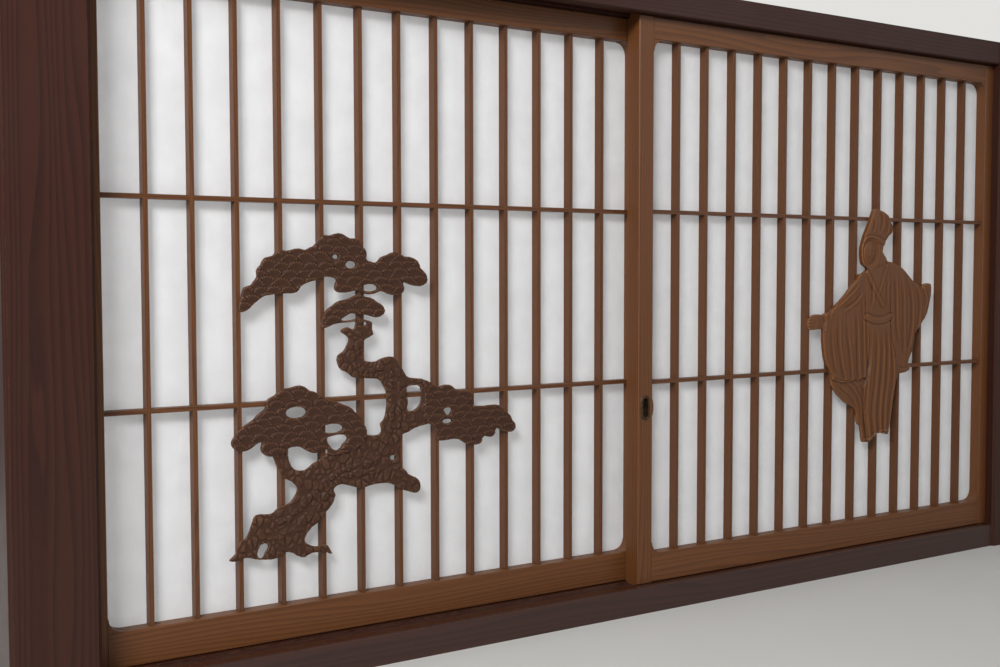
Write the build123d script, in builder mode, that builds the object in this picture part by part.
"""A pair of window-height shoji in their own frame.

Two sliding panels run in a head and a sill with two grooves each, between two square posts.
Each panel is a mortised frame with thirteen close upright bars and two level bars lapped into
each other, paper on the back, and a carving on the front of the bars: a pine on one panel and
a robed figure on the other. X is the width, the room side is -Y and Z is up. The origin is at
the middle of the underside. All sizes are in millimetres.
"""
import os
from math import atan2, cos, pi, sin

from build123d import *

os.makedirs("parts", exist_ok=True)

# Frame round the opening
clear_width = 1715.0
clear_height = 900.0
post_side = 105.0
post_chamfer = 5.0
sill_height = 43.0
head_height = 42.0
track_lip = 20.0
track_groove = 21.0
track_ridge = 12.0
sill_groove_depth = 2.5
head_groove_depth = 15.0
track_chamfer = 2.0
housing_depth = 12.0
stile_groove_depth = 10.0
stile_groove_clearance = 0.5

# Panel frames
panel_width = 888.0
panel_thickness = 30.0
stile_width = 29.0
bottom_rail_height = 46.0
tongue_side_clearance = 0.5
tongue_top_clearance = 2.0
running_gap = 0.3
bottom_shoulder_gap = 1.0
top_shoulder_gap = 2.0
top_rail_height = 34.0
panel_chamfer = 1.0
rail_tenon_length = 20.0
rail_tenon_thickness = 10.0
rail_tenon_shoulder = 6.0
corner_radius = 18.0
corner_feather = 0.6

# Lattice and paper
bar_count = 13
bar_width = 6.0
bar_depth = 15.0
bar_recess = 6.0
level_bar_height = 6.0
lower_level_bar = 275.5
level_bar_spacing = 272.0
bar_tenon_length = 8.0
bar_tenon_depth = 9.0
paper_thickness = 0.4
paper_rebate = 8.0
paper_margin = 1.0

# Carvings
limb_thickness = 4.5
foliage_thickness = 6.5
robe_thickness = 5.5
sleeve_thickness = 9.0
body_thickness = 10.0
head_thickness = 10.8
ridge_rise = 1.2
ridge_strokes = 2
oval_strokes = 12

# Finger pull
pull_height_up_stile = 236.0
pull_width = 19.0
pull_length = 40.0
pull_rim = 2.5
pull_rim_proud = 0.8
pull_cup_depth = 8.0
pull_floor = 1.5
pull_swell = 3.0
pull_swell_length = 30.0

# Worked out from the sizes above
track_depth = 2 * track_lip + 2 * track_groove + track_ridge
track_offset = (track_groove + track_ridge) / 2
track_length = clear_width + 2 * housing_depth
sill_top = sill_height
head_bottom = sill_top + clear_height
overall_height = head_bottom + head_height
post_inner = clear_width / 2

tongue_thickness = track_groove - 2 * tongue_side_clearance
tongue_bottom = sill_top - sill_groove_depth + running_gap
shoulder_bottom = sill_top + bottom_shoulder_gap
shoulder_top = head_bottom - top_shoulder_gap
tongue_top = head_bottom + head_groove_depth - tongue_top_clearance
opening_bottom = shoulder_bottom + bottom_rail_height
opening_top = shoulder_top - top_rail_height
opening_width = panel_width - 2 * stile_width

bar_gap = (opening_width - bar_count * bar_width) / (bar_count + 1)
bar_pitch = bar_gap + bar_width
first_bar = bar_gap + bar_width / 2
level_bars = (lower_level_bar, lower_level_bar + level_bar_spacing)
lattice_back = bar_recess + bar_depth
panel_end = post_inner + stile_groove_depth - stile_groove_clearance
closed_left = {"left_panel": -panel_end, "right_panel": panel_end - panel_width}
track_middle = {"left_panel": track_offset, "right_panel": -track_offset}


def finish(part, name):
    """Label one piece and write it."""
    part.label = name
    export_step(part, "parts/" + name + ".step")


def front_plane(y):
    """A plane parallel to the panels, with its X along the width and its Y up."""
    return Plane(origin=(0, y, 0), x_dir=(1, 0, 0), z_dir=(0, -1, 0))


def block(x, y, z, mode=Mode.ADD):
    """A straight-sided block given by its low and high limits on the three axes."""
    with Locations(((x[0] + x[1]) / 2, (y[0] + y[1]) / 2, (z[0] + z[1]) / 2)):
        Box(x[1] - x[0], y[1] - y[0], z[1] - z[0], mode=mode)


def make_track(name, low, high, groove, room_edge):
    """Head or sill: two grooves along its length and an eased arris on the room side."""
    half_length = track_length / 2
    with BuildPart() as track:
        block((-half_length, half_length), (-track_depth / 2, track_depth / 2), (low, high))
        for middle in track_middle.values():
            sides = (middle - track_groove / 2, middle + track_groove / 2)
            block((-half_length, half_length), sides, groove, Mode.SUBTRACT)
        arris = track.edges().filter_by(Axis.X).filter_by_position(
            Axis.Y, -track_depth / 2 - 0.1, -track_depth / 2 + 0.1
        )
        chamfer(arris.sort_by(Axis.Z)[room_edge], track_chamfer)
    finish(track.part, name)


def make_post(name, side, panel):
    """Square post, housed for the head and the sill and grooved for the closing stile."""
    inner = side * post_inner
    outer = side * (post_inner + post_side)
    with BuildPart() as post:
        block(sorted((inner, outer)), (-post_side / 2, post_side / 2), (0, overall_height))
        chamfer(post.edges().filter_by(Axis.Z), post_chamfer)
        housing = sorted((inner - side, inner + side * housing_depth))
        across = (-track_depth / 2, track_depth / 2)
        block(housing, across, (0, sill_top), Mode.SUBTRACT)
        block(housing, across, (head_bottom, overall_height), Mode.SUBTRACT)
        groove = sorted((inner - side, inner + side * stile_groove_depth))
        half = panel_thickness / 2 + stile_groove_clearance
        middle = track_middle[panel]
        block(groove, (middle - half, middle + half), (sill_top, head_bottom), Mode.SUBTRACT)
    finish(post.part, name)


def tenon_band(rail):
    """Height limits of a rail's tenons."""
    if rail == "top":
        return (opening_top + rail_tenon_shoulder, shoulder_top - rail_tenon_shoulder)
    return (shoulder_bottom + rail_tenon_shoulder, opening_bottom - rail_tenon_shoulder)


def level_bar_band(index):
    """Height limits of a level bar."""
    middle = opening_bottom + level_bars[index]
    return (middle - level_bar_height / 2, middle + level_bar_height / 2)


class Panel:
    """Where one closed panel stands."""

    def __init__(self, name):
        self.name = name
        self.left = closed_left[name]
        self.right = self.left + panel_width
        self.open_left = self.left + stile_width
        self.open_right = self.right - stile_width
        self.middle = track_middle[name]
        self.front = self.middle - panel_thickness / 2
        self.back = self.middle + panel_thickness / 2
        self.tongue = (self.middle - tongue_thickness / 2, self.middle + tongue_thickness / 2)
        self.bars_front = self.front + bar_recess
        self.paper_plane = self.front + lattice_back
        tenon_middle = self.bars_front + bar_depth / 2
        self.bar_tenon = (tenon_middle - bar_tenon_depth / 2, tenon_middle + bar_tenon_depth / 2)
        rail_middle = self.front + lattice_back / 2
        self.rail_tenon = (
            rail_middle - rail_tenon_thickness / 2,
            rail_middle + rail_tenon_thickness / 2,
        )

    def bar_limits(self, index):
        """Left and right faces of an upright bar, counted from zero."""
        middle = self.open_left + first_bar + index * bar_pitch
        return (middle - bar_width / 2, middle + bar_width / 2)


def make_stile(panel, name, at_left, pulled=False):
    """Upright of a panel, with its tongues, paper rebate and mortises."""
    inward = 1 if at_left else -1
    outer = panel.left if at_left else panel.right
    inner = outer + inward * stile_width
    sides = sorted((outer, inner))
    rebate = sorted((inner - inward * paper_rebate, inner + inward))
    rail_mortise = sorted((inner - inward * rail_tenon_length, inner + inward))
    bar_mortise = sorted((inner - inward * bar_tenon_length, inner + inward))
    paper_band = (opening_bottom - paper_rebate, opening_top + paper_rebate)
    with BuildPart() as stile:
        block(sides, (panel.front, panel.back), (shoulder_bottom, shoulder_top))
        front_edges = stile.edges().filter_by(Axis.Z).group_by(Axis.Y)[0]
        chamfer(front_edges, panel_chamfer)
        if pulled:
            swell_middle = opening_bottom + pull_height_up_stile
            with BuildSketch(front_plane(panel.front + panel_chamfer)):
                with BuildLine():
                    low = (inner, swell_middle - pull_swell_length / 2)
                    high = (inner, swell_middle + pull_swell_length / 2)
                    ThreePointArc(low, (inner + inward * pull_swell, swell_middle), high)
                    Line(high, low)
                make_face()
            extrude(amount=-(bar_recess + bar_depth / 2))
        block(sides, panel.tongue, (tongue_bottom, tongue_top))
        block(rebate, (panel.paper_plane, panel.back), paper_band, Mode.SUBTRACT)
        for rail in ("top", "bottom"):
            block(rail_mortise, panel.rail_tenon, tenon_band(rail), Mode.SUBTRACT)
        for index in range(len(level_bars)):
            block(bar_mortise, panel.bar_tenon, level_bar_band(index), Mode.SUBTRACT)
        if pulled:
            with BuildSketch(front_plane(panel.front)):
                with Locations((outer + inward * stile_width / 2, swell_middle)):
                    SlotOverall(
                        pull_length - 2 * pull_rim, pull_width - 2 * pull_rim, rotation=90
                    )
            extrude(amount=-pull_cup_depth, mode=Mode.SUBTRACT)
    finish(stile.part, panel.name + "_" + name)


def make_rail(panel, rail):
    """Top or bottom rail, with its tongue, tenons, paper rebate and the bars' mortises."""
    at_top = rail == "top"
    across = (panel.open_left, panel.open_right)
    with_tenons = (across[0] - rail_tenon_length, across[1] + rail_tenon_length)
    if at_top:
        body = (opening_top, shoulder_top)
        tongue = (shoulder_top, tongue_top)
        rebate = (opening_top - 1, opening_top + paper_rebate)
        mortise = (opening_top - 1, opening_top + bar_tenon_length)
    else:
        body = (shoulder_bottom, opening_bottom)
        tongue = (tongue_bottom, shoulder_bottom)
        rebate = (opening_bottom - paper_rebate, opening_bottom + 1)
        mortise = (opening_bottom - bar_tenon_length, opening_bottom + 1)
    with BuildPart() as part:
        block(across, (panel.front, panel.back), body)
        front_edges = part.edges().filter_by(Axis.X).group_by(Axis.Y)[0]
        chamfer(front_edges, panel_chamfer)
        block(across, panel.tongue, tongue)
        block(with_tenons, panel.rail_tenon, tenon_band(rail))
        block(across, (panel.paper_plane, panel.back), rebate, Mode.SUBTRACT)
        for index in range(bar_count):
            block(panel.bar_limits(index), panel.bar_tenon, mortise, Mode.SUBTRACT)
    finish(part.part, panel.name + "_" + rail + "_rail")


def lap_limits(panel, index, level, for_bar):
    """Depth limits of a half lap: the laps turn from front to back at every crossing."""
    middle = panel.bars_front + bar_depth / 2
    front_half = (panel.bars_front - 1, middle)
    back_half = (middle, panel.paper_plane + 1)
    bar_in_front = (index + level) % 2 == 0
    return back_half if bar_in_front == for_bar else front_half


def make_bar(panel, index):
    """Upright bar with a stub tenon at each end and a half lap at each level bar."""
    sides = panel.bar_limits(index)
    ends = (opening_bottom - bar_tenon_length, opening_top + bar_tenon_length)
    with BuildPart() as bar:
        block(sides, (panel.bars_front, panel.paper_plane), (opening_bottom, opening_top))
        block(sides, panel.bar_tenon, ends)
        for level in range(len(level_bars)):
            lap = lap_limits(panel, index, level, True)
            block(sides, lap, level_bar_band(level), Mode.SUBTRACT)
    finish(bar.part, "{}_bar_{:02d}".format(panel.name, index + 1))


def make_level_bar(panel, level, name):
    """Level bar lapped with every upright bar and tenoned into the stiles."""
    across = (panel.open_left, panel.open_right)
    ends = (across[0] - bar_tenon_length, across[1] + bar_tenon_length)
    band = level_bar_band(level)
    with BuildPart() as bar:
        block(across, (panel.bars_front, panel.paper_plane), band)
        block(ends, panel.bar_tenon, band)
        for index in range(bar_count):
            lap = lap_limits(panel, index, level, False)
            block(panel.bar_limits(index), lap, band, Mode.SUBTRACT)
    finish(bar.part, panel.name + "_" + name)


def make_corner_block(panel, at_left, at_top):
    """Small block that rounds an inner corner of the panel frame."""
    corner_x = panel.open_left if at_left else panel.open_right
    corner_z = opening_top if at_top else opening_bottom
    inward_x = 1 if at_left else -1
    inward_z = -1 if at_top else 1
    leg = corner_radius
    centre = corner_radius + corner_feather
    side_tip = (corner_x + inward_x * leg, corner_z + inward_z * corner_feather)
    rise_tip = (corner_x + inward_x * corner_feather, corner_z + inward_z * leg)
    half_way = centre - corner_radius * cos(atan2(1, 1))
    middle = (corner_x + inward_x * half_way, corner_z + inward_z * half_way)
    with BuildPart() as corner:
        with BuildSketch(front_plane(panel.front)):
            with BuildLine():
                Line((corner_x, corner_z), (corner_x + inward_x * leg, corner_z))
                Line((corner_x + inward_x * leg, corner_z), side_tip)
                ThreePointArc(side_tip, middle, rise_tip)
                Line(rise_tip, (corner_x, corner_z + inward_z * leg))
                Line((corner_x, corner_z + inward_z * leg), (corner_x, corner_z))
            make_face()
        extrude(amount=-lattice_back)
    place = ("top" if at_top else "bottom") + ("_left" if at_left else "_right")
    finish(corner.part, panel.name + "_corner_" + place)


def make_paper(panel):
    """Paper sheet glued to the backs of the bars and in the rebate."""
    reach = paper_rebate - paper_margin
    with BuildPart() as paper:
        block(
            (panel.open_left - reach, panel.open_right + reach),
            (panel.paper_plane, panel.paper_plane + paper_thickness),
            (opening_bottom - reach, opening_top + reach),
        )
    finish(paper.part, panel.name + "_paper")


def make_finger_pull(panel):
    """Oval cup let into the stile, with a slightly proud rim."""
    middle = (panel.left + stile_width / 2, opening_bottom + pull_height_up_stile)
    cup_width = pull_width - 2 * pull_rim
    cup_length = pull_length - 2 * pull_rim
    with BuildPart() as pull:
        with BuildSketch(front_plane(panel.front)):
            with Locations(middle):
                SlotOverall(pull_length, pull_width, rotation=90)
        extrude(amount=pull_rim_proud)
        with BuildSketch(front_plane(panel.front)):
            with Locations(middle):
                SlotOverall(cup_length, cup_width, rotation=90)
        extrude(amount=-pull_cup_depth)
        rim = pull.edges().group_by(Axis.Y)[0]
        chamfer(rim, pull_rim_proud / 2)
        with BuildSketch(front_plane(panel.front - pull_rim_proud)):
            with Locations(middle):
                SlotOverall(cup_length - 2 * pull_floor, cup_width - 2 * pull_floor, rotation=90)
        extrude(amount=-(pull_rim_proud + pull_cup_depth - pull_floor), mode=Mode.SUBTRACT)
    finish(pull.part, panel.name + "_finger_pull")


def carved_face(points):
    """Outline cut by straight strokes from point to point."""
    with BuildLine() as outline:
        Polyline(*points, close=True)
    make_face(outline.edges())


def along_curve(points, strokes):
    """Points at even steps along a smooth line through the given ones."""
    with BuildLine():
        curve = Spline(*points)
    return [curve @ (step / strokes) for step in range(strokes + 1)]


def ridge_face(stations):
    """Outline of a ridge from its middle line and half widths: (x, z, half width)."""
    left, right = [], []
    last = len(stations) - 1
    for index, (x, z, half) in enumerate(stations):
        before = stations[max(index - 1, 0)]
        after = stations[min(index + 1, last)]
        heading = atan2(after[1] - before[1], after[0] - before[0])
        left.append((x - half * sin(heading), z + half * cos(heading)))
        right.append((x + half * sin(heading), z - half * cos(heading)))
    right.reverse()
    strokes = last * ridge_strokes
    carved_face(along_curve(left, strokes) + along_curve(right, strokes))


def raised_ridges(plane, ridges, thickness):
    """Long tapered ridges that stand a little above one layer of a carving."""
    for stations in ridges:
        with BuildPart(mode=Mode.PRIVATE) as ridge:
            with BuildSketch(plane):
                ridge_face(stations)
            extrude(amount=thickness + ridge_rise)
        add(ridge.part)


def oval_face(middle, half_width, half_height):
    """Oval with a carved edge."""
    turns = [2 * pi * step / oval_strokes for step in range(oval_strokes)]
    carved_face(
        [(middle[0] + half_width * cos(turn), middle[1] + half_height * sin(turn)) for turn in turns]
    )


# The pine, measured from the first bar's middle and from the bottom of the opening
pine_trunk = [
    (101, 71), (107, 76), (111.5, 80), (112.5, 86), (115.5, 93), (120, 97), (124.5, 97),
    (127.5, 102), (131, 110), (134, 118), (136.5, 125), (139, 127.5), (145.5, 128.5),
    (152, 127.5), (159, 127), (164, 128.5), (168.5, 132.5), (174, 135.5), (180.5, 137),
    (184, 137.5), (188.5, 140.5), (193, 145.5), (197, 151.5), (199, 157.5), (197.5, 161.5),
    (192.5, 166.5), (187.5, 170), (182.5, 172), (177, 174.5), (173.5, 183), (168.5, 193),
    (166.5, 199), (164, 206), (168, 214), (190, 222), (235, 222), (262, 216), (285, 219),
    (303, 224), (307, 223), (314, 222), (322, 222.5), (326, 226), (326.5, 229.5), (325, 234),
    (324.5, 238), (328, 241), (330.5, 244.5), (332.5, 250), (334.5, 260), (335, 267), (334, 283),
    (331.5, 288.5), (329, 293), (326, 298), (321, 301.5), (313, 302.5), (304, 303), (299, 305),
    (286, 304.5), (281, 306.5), (277, 310.5), (272, 314), (266, 316), (262, 320), (259.5, 326),
    (258.5, 331.5), (260, 337), (264.5, 340), (269.5, 343), (272, 347.5), (274.5, 352.5),
    (277, 357.5), (276, 361.5), (272, 365), (266, 368.5), (264.5, 372), (271, 375), (276, 376),
    (280, 373.5), (284, 372), (286.5, 375.5), (288, 384), (289.5, 400), (290, 432), (299, 432),
    (299, 420), (298, 400), (296.5, 391), (297.5, 387), (302, 385.5), (308, 384), (313, 382),
    (313.5, 378), (313, 371), (315.5, 364.5), (309, 361), (302.5, 358), (298.5, 353),
    (297, 347), (296.5, 337), (298, 330.5), (302.5, 327.5), (311, 326), (319, 326.5), (324, 329),
    (331, 331.5), (339, 332.5), (346, 332), (352, 327), (356, 320), (360, 315), (363.5, 309),
    (367, 303.5), (372, 301), (378.5, 300), (387, 299), (392, 298.5), (399, 295), (410, 286),
    (412, 262), (410, 240), (404, 233), (397, 231.5), (390, 230.5), (382, 228.5), (375.5, 226),
    (369, 222.5), (362, 221), (358, 218), (356.5, 212), (355.5, 204), (355, 187), (356, 176),
    (361, 171), (366, 167), (369, 162.5), (375, 159), (381, 156.5), (385, 153.5), (388, 149),
    (389.5, 143.5), (388.5, 138.5), (386, 135), (381.5, 133.5), (376.5, 134.5), (371, 136.5),
    (361, 140), (354, 143), (347, 148), (341, 151), (334, 152.5), (325, 153), (314, 152.5),
    (304, 150.5), (297.5, 149), (291, 149.5), (285, 151.5), (277.5, 154), (271, 156), (265, 157.5),
    (260, 157), (255, 154.5), (252.5, 151), (253.5, 147.5), (255.5, 144), (254, 139.5),
    (252.5, 135), (250, 131), (246.5, 126), (242.5, 122.5), (238, 118.5), (233, 112),
    (229, 108), (220, 102.5), (216, 99), (212, 94), (209, 88.5), (209, 84), (211.5, 81),
    (216.5, 78), (222.5, 75.5), (230, 75), (237.5, 76.5), (243, 74.5), (246, 69.5), (250, 61.5),
    (245, 62.5), (241, 65), (229, 66.5), (219, 66.5), (214, 64.5), (209, 62), (204, 62.5),
    (197, 66), (192, 70), (185, 72.5), (179, 72), (173, 68), (167, 65.5), (160, 65),
    (144, 67), (137, 68.5), (131, 71), (125, 72), (120, 71), (112, 68.5), (106, 69),
]
pine_twig = [
    (250, 379), (258, 386), (264, 385.5), (272, 384.8), (281, 385.5), (292, 388), (292, 384),
    (281, 382.5), (272, 381.8), (263, 381.5),
]
pine_pads = {
    "crown": [
        (119.5, 400), (118.5, 406), (119.5, 413), (122.5, 420), (124, 427), (126, 431.5),
        (130.5, 433.5), (136.5, 435), (139, 439), (142.5, 443), (144.5, 447), (143.5, 453),
        (145.5, 457.5), (149.5, 461), (151.5, 466), (155.5, 471), (161, 472.5), (166.5, 473.5),
        (169.5, 477), (174, 480.5), (180.5, 481.5), (186, 480.5), (192, 481.5), (198.5, 483.5),
        (205, 484), (210, 482.5), (214, 482), (218.5, 484.5), (226, 487.5), (229.5, 492),
        (234, 498), (239.5, 502.5), (244, 502.5), (250, 502), (255.5, 504), (262, 505.5),
        (268.5, 504.5), (274.5, 501), (279, 498.5), (285, 498.5), (291, 498), (294.5, 495),
        (297.5, 488), (302, 484), (304.5, 480), (305, 475.5), (303.5, 471), (306, 467.5),
        (312, 466.5), (318, 464.5), (322.5, 467.5), (325.5, 472), (331, 474.5), (337, 476),
        (342, 479), (349, 480), (355, 479.5), (359, 476.5), (364, 474), (372.5, 473.5),
        (380, 471.5), (385.5, 467.5), (388.5, 462.5), (390, 457.5), (394, 454), (398, 450),
        (400.5, 446), (401, 441), (399.5, 436.5), (395, 433), (389, 431.3), (380, 432),
        (372.5, 434), (366.5, 436.5), (361.5, 438.5), (362, 434), (363.5, 430), (363, 425),
        (360, 421.5), (355, 419.5), (349, 419), (343, 419.5), (337.5, 421), (331.5, 424),
        (326.5, 425.5), (321.5, 423.5), (316.5, 421.5), (309, 420.5), (302, 421.5), (296, 424),
        (290, 425), (284, 426), (278.5, 424.5), (271.5, 423.5), (263.5, 423.5), (259, 425),
        (256, 427.5), (255.5, 431), (257, 436), (259, 440), (257, 443), (251.5, 445),
        (244, 445.5), (238.5, 444.5), (232, 441.5), (226, 440), (221, 439), (215, 437),
        (208.5, 434), (205.5, 431.5), (203.5, 427.5), (199.5, 424.5), (193.5, 423), (186.5, 423.3),
        (178.5, 422.8), (166.5, 422), (156.5, 420.8), (151, 418.5), (145, 414), (138.5, 408.5),
        (132.5, 403), (128.5, 400.5), (123.5, 399),
    ],
    "second_tier": [
        (236, 376), (235.5, 382), (236.5, 388), (239, 393), (242, 398), (246.5, 402.5),
        (252.5, 406), (257.5, 410), (263.5, 412.5), (272, 414), (279, 416), (285, 419),
        (291, 421), (297.5, 420), (302, 417.5), (310, 416.5), (315.5, 414), (319.5, 410.5),
        (325.5, 407.5), (330.5, 403.5), (333, 398), (331, 393), (326, 389.5), (319.5, 388),
        (312, 389.7), (305, 392), (298, 393), (291, 393), (284, 394.5), (279, 394.5), (274, 392),
        (268, 388.5), (263, 385), (258, 382), (253, 379.5), (247, 377), (241, 375),
    ],
    "lower_left": [
        (107, 223), (106.3, 227.5), (108, 232), (111.5, 236), (115, 241.5), (121, 246.5),
        (126, 249.5), (132.5, 253.5), (138, 257), (141.5, 261), (147, 265), (152, 268),
        (154.5, 272), (155.5, 279), (159.5, 283.5), (166, 286), (170, 289), (174.5, 293),
        (179.5, 295.5), (185, 295.5), (191, 296.3), (197.5, 298), (204, 298.5), (210.5, 296.5),
        (214, 293.5), (218, 290.5), (224.5, 289), (229.5, 286), (235.5, 282), (240, 278.5),
        (247, 276), (256, 273.5), (263.5, 270.5), (270.5, 267.5), (277, 265), (281.5, 261.5),
        (286, 256.5), (291, 252.5), (294, 248), (297, 241), (301, 236), (303, 231), (303, 224),
        (298, 215), (288, 208), (276, 203), (262, 200), (250, 200), (240, 203), (226, 198),
        (210, 200), (196, 205), (188, 208), (178, 208), (170, 205.5), (163, 204.5),
        (158, 205), (152.5, 207.5), (148.5, 211.5), (147, 216.5), (148, 221.5), (149.5, 226),
        (143.5, 224.5), (137.5, 220.5), (132.5, 217), (126.5, 215), (120, 214.5), (114.5, 215.5),
        (110, 219),
    ],
    "lower_right": [
        (395, 297), (402, 294.5), (409, 291), (415, 287), (419.5, 285.5), (424, 287), (430, 288),
        (437, 287.5), (442, 285), (446, 281.5), (452, 279), (462, 278.3), (470, 277.5), (474.5, 275),
        (475, 266), (475.5, 257), (479.5, 254), (487, 253.3), (497, 253), (507, 253.7),
        (517, 253.7), (522.5, 252.5), (526, 249.5), (532, 245), (536, 241), (540, 238.3),
        (543.5, 234.5), (545.5, 229), (549.5, 225), (552, 221), (552, 216.5), (548.5, 212.5),
        (543.5, 210.3), (538, 210.8), (531, 212), (525, 214.5), (520, 219), (516.5, 216.5),
        (515.3, 211.7), (513, 207.5), (508.3, 205.3), (502.5, 206.3), (497.5, 208), (493.5, 206),
        (492.5, 202), (491, 198.3), (486.7, 196.2), (480.8, 195.8), (474, 196.7), (468, 197.7),
        (463, 199.5), (459, 202.5), (453, 206), (445, 207.5), (436.7, 207), (428.3, 206.3),
        (420, 206.3), (416, 207.5), (415.5, 212), (414, 218.5), (411.5, 225), (406, 231),
        (400, 236), (396.5, 244), (395, 256), (396, 270), (394.5, 284),
    ],
}
pine_cut_outs = [
    [
        (185, 213), (190, 215), (198.5, 215.5), (205, 214), (211.7, 209), (219, 205.5),
        (226, 204), (233, 207), (239.5, 209.5), (244, 207), (244.5, 203), (240, 200),
        (234, 196), (228, 193), (221, 190), (216, 185.5), (210, 182), (202, 182), (195.5, 184),
        (190.5, 189), (187.5, 196.5), (186, 205),
    ],
    [
        (242.5, 224.5), (249, 226), (261, 227.5), (269.5, 226), (274, 222), (271, 217),
        (266, 213.5), (263.5, 208.5), (258, 205.5), (251, 207.5), (246, 213.5), (243, 219.5),
    ],
    [
        (366.8, 284), (368, 288), (372, 289.5), (384, 289.5), (389, 287), (390, 280),
        (390.5, 268), (389, 262), (385.5, 259), (381.5, 255.5), (376, 252.5), (369, 252.5),
        (367.5, 258), (369.5, 264), (368.3, 272),
    ],
    [
        (426.7, 251), (429, 254), (438, 254), (441, 251), (439, 247), (436, 242.5), (432, 243.5),
        (429, 247.5),
    ],
    [
        (140.5, 73.5), (142, 80), (145.8, 87), (152, 88.5), (156.5, 85.5), (155, 80), (151, 75),
        (149, 69.5), (144, 68.8),
    ],
]
pine_holes = [
    ((197.8, 262), 15.2, 7.8), ((251, 236.5), 16.0, 6.5), ((344.5, 188), 5.0, 3.6),
    ((433, 234.3), 8.2, 3.3), ((257.3, 473), 4.4, 3.4), ((280.3, 462), 8.0, 5.2),
    ((309.5, 430), 12.0, 5.2), ((301.5, 380), 3.2, 2.6),
]
pine_bark = [
    [
        (170, 112, 1.5), (196, 126, 3), (222, 150, 3), (248, 170, 3), (290, 182, 3),
        (325, 196, 2.5), (338, 226, 2.5), (342, 262, 2.5), (341, 300, 1.5),
    ],
    [(190, 96, 1.5), (216, 118, 3), (240, 146, 3), (262, 166, 3), (306, 172, 3), (336, 176, 1.5)],
    [(160, 94, 1.5), (176, 96, 2.5), (196, 106, 2.5), (212, 124, 1.5)],
    [(351, 230, 1.5), (355, 262, 2.5), (353, 296, 1.5)],
    [(282, 338, 1.5), (284, 326, 2.5), (300, 315, 2.5), (326, 317, 2.5), (342, 310, 1.5)],
    [(345, 166, 1.5), (360, 157, 2.5), (376, 147, 1.5)],
    [(284, 352, 1.5), (290, 342, 2.5), (286, 334, 1.5)],
]


def make_pine(panel):
    """Fretted pine on the front of the bars: thin ridged limbs under thicker foliage pads."""
    corner = Plane(
        origin=(panel.open_left + first_bar, panel.bars_front, opening_bottom),
        x_dir=(1, 0, 0),
        z_dir=(0, -1, 0),
    )
    with BuildPart() as pine:
        with BuildSketch(corner):
            carved_face(pine_trunk)
            carved_face(pine_twig)
        extrude(amount=limb_thickness)
        raised_ridges(corner, pine_bark, limb_thickness)
        with BuildSketch(corner):
            for outline in pine_pads.values():
                carved_face(outline)
        extrude(amount=foliage_thickness)
        with BuildSketch(corner):
            for outline in pine_cut_outs:
                carved_face(outline)
            for hole in pine_holes:
                oval_face(*hole)
        extrude(amount=foliage_thickness, mode=Mode.SUBTRACT)
    finish(pine.part, panel.name + "_pine_carving")


# The robed figure, measured from the same two lines on its own panel
head_edge = [
    (441.5, 456.5), (437, 460.5), (430, 463.5), (426.7, 469), (424.7, 480.5), (424.7, 494),
    (427.6, 505), (433, 518), (440, 530), (446, 541.5), (451.5, 554), (456, 563), (462, 566),
    (470, 564), (483, 560), (493, 555), (497, 550), (499, 544), (505.5, 537.5), (507.5, 529),
    (504, 522), (496, 517), (487.5, 507), (482, 497), (480, 488.5), (483.5, 483), (489, 478),
    (493, 471),
]
neck_line = [(493, 471), (478, 465), (460, 460.5), (441.5, 456.5)]
far_sleeve_edge = [
    (493, 471), (509, 469), (529, 461.5), (537, 458), (546.5, 451), (556, 443), (564.5, 436),
    (570, 432), (580, 429), (587, 422.5), (591, 422.5), (598, 428), (609, 430), (617.5, 429),
    (619.5, 421), (618, 405.5), (614.5, 393), (609, 375), (602, 364), (594, 357), (587, 350),
    (580, 344), (574.5, 333), (571.5, 319), (569.5, 307), (563, 297), (558, 289), (556.5, 283),
    (562, 275), (559, 268), (549, 264.5), (528.5, 262.5),
]
far_sleeve_seam = [
    (528.5, 262.5), (524, 276), (518, 296), (510, 320), (505, 350), (503, 390), (502, 436),
    (493, 471),
]
skirt_edge = [
    (528.5, 262.5), (523, 250), (518.5, 232), (513.5, 214), (509.5, 192), (506.5, 175),
    (503.5, 161), (501.5, 151.5), (494, 153), (483, 156), (472, 155.5), (464, 149), (455, 142.5),
    (446, 141),
]
skirt_seam = [(446, 141), (442, 165), (437, 190), (434, 217), (435, 242), (442, 260)]
near_sleeve_seam = [
    (442, 260), (447, 281), (442, 308), (439, 353), (436, 380), (434.5, 420), (430, 440),
    (421.5, 447.5),
]
under_sleeve_edge = [
    (446, 141), (438, 141.5), (435, 144.5), (434, 151), (432, 164), (430, 172), (425, 176),
    (421.7, 178.5), (420.5, 190), (419, 200), (413, 207), (402, 211), (389, 217), (372, 230),
    (360, 242), (355, 250), (353, 261),
]
near_sleeve_hem = [(353, 261), (378, 254), (395, 254.5), (412, 256), (430, 257), (442, 260)]
near_sleeve_edge = [
    (353, 261), (352, 270), (345, 280), (339, 287), (334, 300), (331, 316), (329.5, 333),
    (330, 350),
]
forearm_edge = [
    (330, 350), (322, 350.5), (312, 350), (302, 349.5), (296, 352), (293.5, 360), (295.5, 369),
    (304.5, 375.5), (314, 377), (329.5, 376),
]
cuff_line = [(329.5, 376), (333, 363), (330, 350)]
near_shoulder_edge = [
    (329.5, 376), (336, 378.5), (348, 381), (356, 387), (363, 393), (374, 401), (385.5, 410.5),
    (395, 420), (402, 427), (408, 431.5), (416.5, 438.5), (421.5, 447.5),
]
collar_edge = [(421.5, 447.5), (427.5, 448), (436, 452), (441.5, 456.5)]
figure_face = ((446, 488), 12.5, 16.0)
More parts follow.
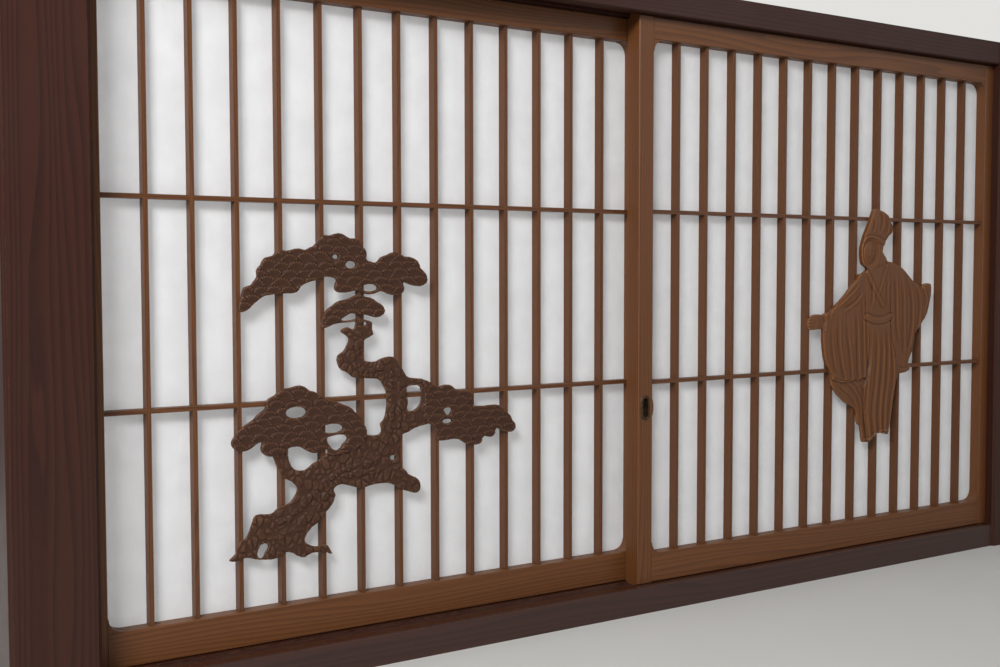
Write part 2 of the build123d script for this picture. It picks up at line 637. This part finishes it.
figure_folds = {
    "near_sleeve": [
        [(398, 372, 1.5), (408, 334, 3), (412, 294, 3), (404, 264, 1.5)],
        [(374, 374, 1.5), (382, 334, 3), (386, 294, 3), (380, 262, 1.5)],
        [(352, 366, 1.5), (355, 330, 2.5), (361, 294, 2.5), (366, 266, 1.5)],
        [(392, 404, 1.5), (408, 396, 2.5), (424, 398, 1.5)],
    ],
    "far_sleeve": [
        [(520, 448, 1.5), (530, 400, 3), (534, 350, 3), (534, 300, 1.5)],
        [(548, 434, 1.5), (558, 396, 3), (558, 352, 2.5), (550, 312, 1.5)],
        [(588, 412, 1.5), (590, 392, 2.5), (582, 366, 2.5), (570, 342, 1.5)],
    ],
    "body": [
        [
            (450, 440, 1.5), (448, 400, 3), (454, 340, 3.5), (456, 280, 3), (448, 225, 2.5),
            (452, 165, 1.5),
        ],
        [
            (474, 430, 1.5), (472, 396, 3), (476, 340, 3), (474, 280, 3.5), (468, 220, 3),
            (470, 170, 1.5),
        ],
        [
            (492, 426, 1.5), (492, 380, 3), (492, 330, 3.5), (502, 275, 3), (498, 220, 3),
            (490, 168, 1.5),
        ],
        [(448, 452, 1.5), (460, 440, 3), (472, 444, 1.5)],
        [(489, 460, 1.5), (480, 444, 2.5), (464, 424, 1.5)],
    ],
}


def ring(*edges):
    """One closed outline from edges that meet end to end, each given forwards or backwards."""
    points = list(edges[0])
    for edge in edges[1:]:
        points += edge[1:] if edge[0] == points[-1] else edge[-2::-1]
    return points[:-1]


figure_layers = [
    (
        ring(
            head_edge, far_sleeve_edge, skirt_edge, under_sleeve_edge, near_sleeve_edge,
            forearm_edge, near_shoulder_edge, collar_edge,
        ),
        robe_thickness,
        [],
    ),
    (
        ring(near_shoulder_edge, near_sleeve_seam, near_sleeve_hem, near_sleeve_edge, cuff_line),
        sleeve_thickness,
        figure_folds["near_sleeve"],
    ),
    (ring(far_sleeve_edge, far_sleeve_seam), sleeve_thickness, figure_folds["far_sleeve"]),
    (
        ring(
            neck_line, collar_edge, near_sleeve_seam, skirt_seam, skirt_edge, far_sleeve_seam,
        ),
        body_thickness,
        figure_folds["body"],
    ),
    (ring(head_edge, neck_line), head_thickness, []),
]


def make_figure(panel):
    """Robed figure in low relief on the front of the bars."""
    corner = Plane(
        origin=(panel.open_left + first_bar, panel.bars_front, opening_bottom),
        x_dir=(1, 0, 0),
        z_dir=(0, -1, 0),
    )
    with BuildPart() as figure:
        for outline, thickness, folds in figure_layers:
            with BuildSketch(corner):
                carved_face(outline)
            extrude(amount=thickness)
            raised_ridges(corner, folds, thickness)
        with BuildSketch(corner):
            oval_face(*figure_face)
        extrude(amount=head_thickness + ridge_rise)
    finish(figure.part, panel.name + "_figure_carving")


make_track("sill_track", 0, sill_top, (sill_top - sill_groove_depth, sill_top + 1), -1)
make_track(
    "head_track", head_bottom, overall_height, (head_bottom - 1, head_bottom + head_groove_depth), 0
)
make_post("left_post", -1, "left_panel")
make_post("right_post", 1, "right_panel")

for panel in (Panel("left_panel"), Panel("right_panel")):
    is_left = panel.name == "left_panel"
    make_stile(panel, "outer_stile" if is_left else "meeting_stile", True, pulled=not is_left)
    make_stile(panel, "meeting_stile" if is_left else "outer_stile", False)
    for rail in ("top", "bottom"):
        make_rail(panel, rail)
    for index in range(bar_count):
        make_bar(panel, index)
    make_level_bar(panel, 0, "lower_level_bar")
    make_level_bar(panel, 1, "upper_level_bar")
    for at_left in (True, False):
        for at_top in (True, False):
            make_corner_block(panel, at_left, at_top)
    make_paper(panel)
    if is_left:
        make_pine(panel)
    else:
        make_figure(panel)
        make_finger_pull(panel)
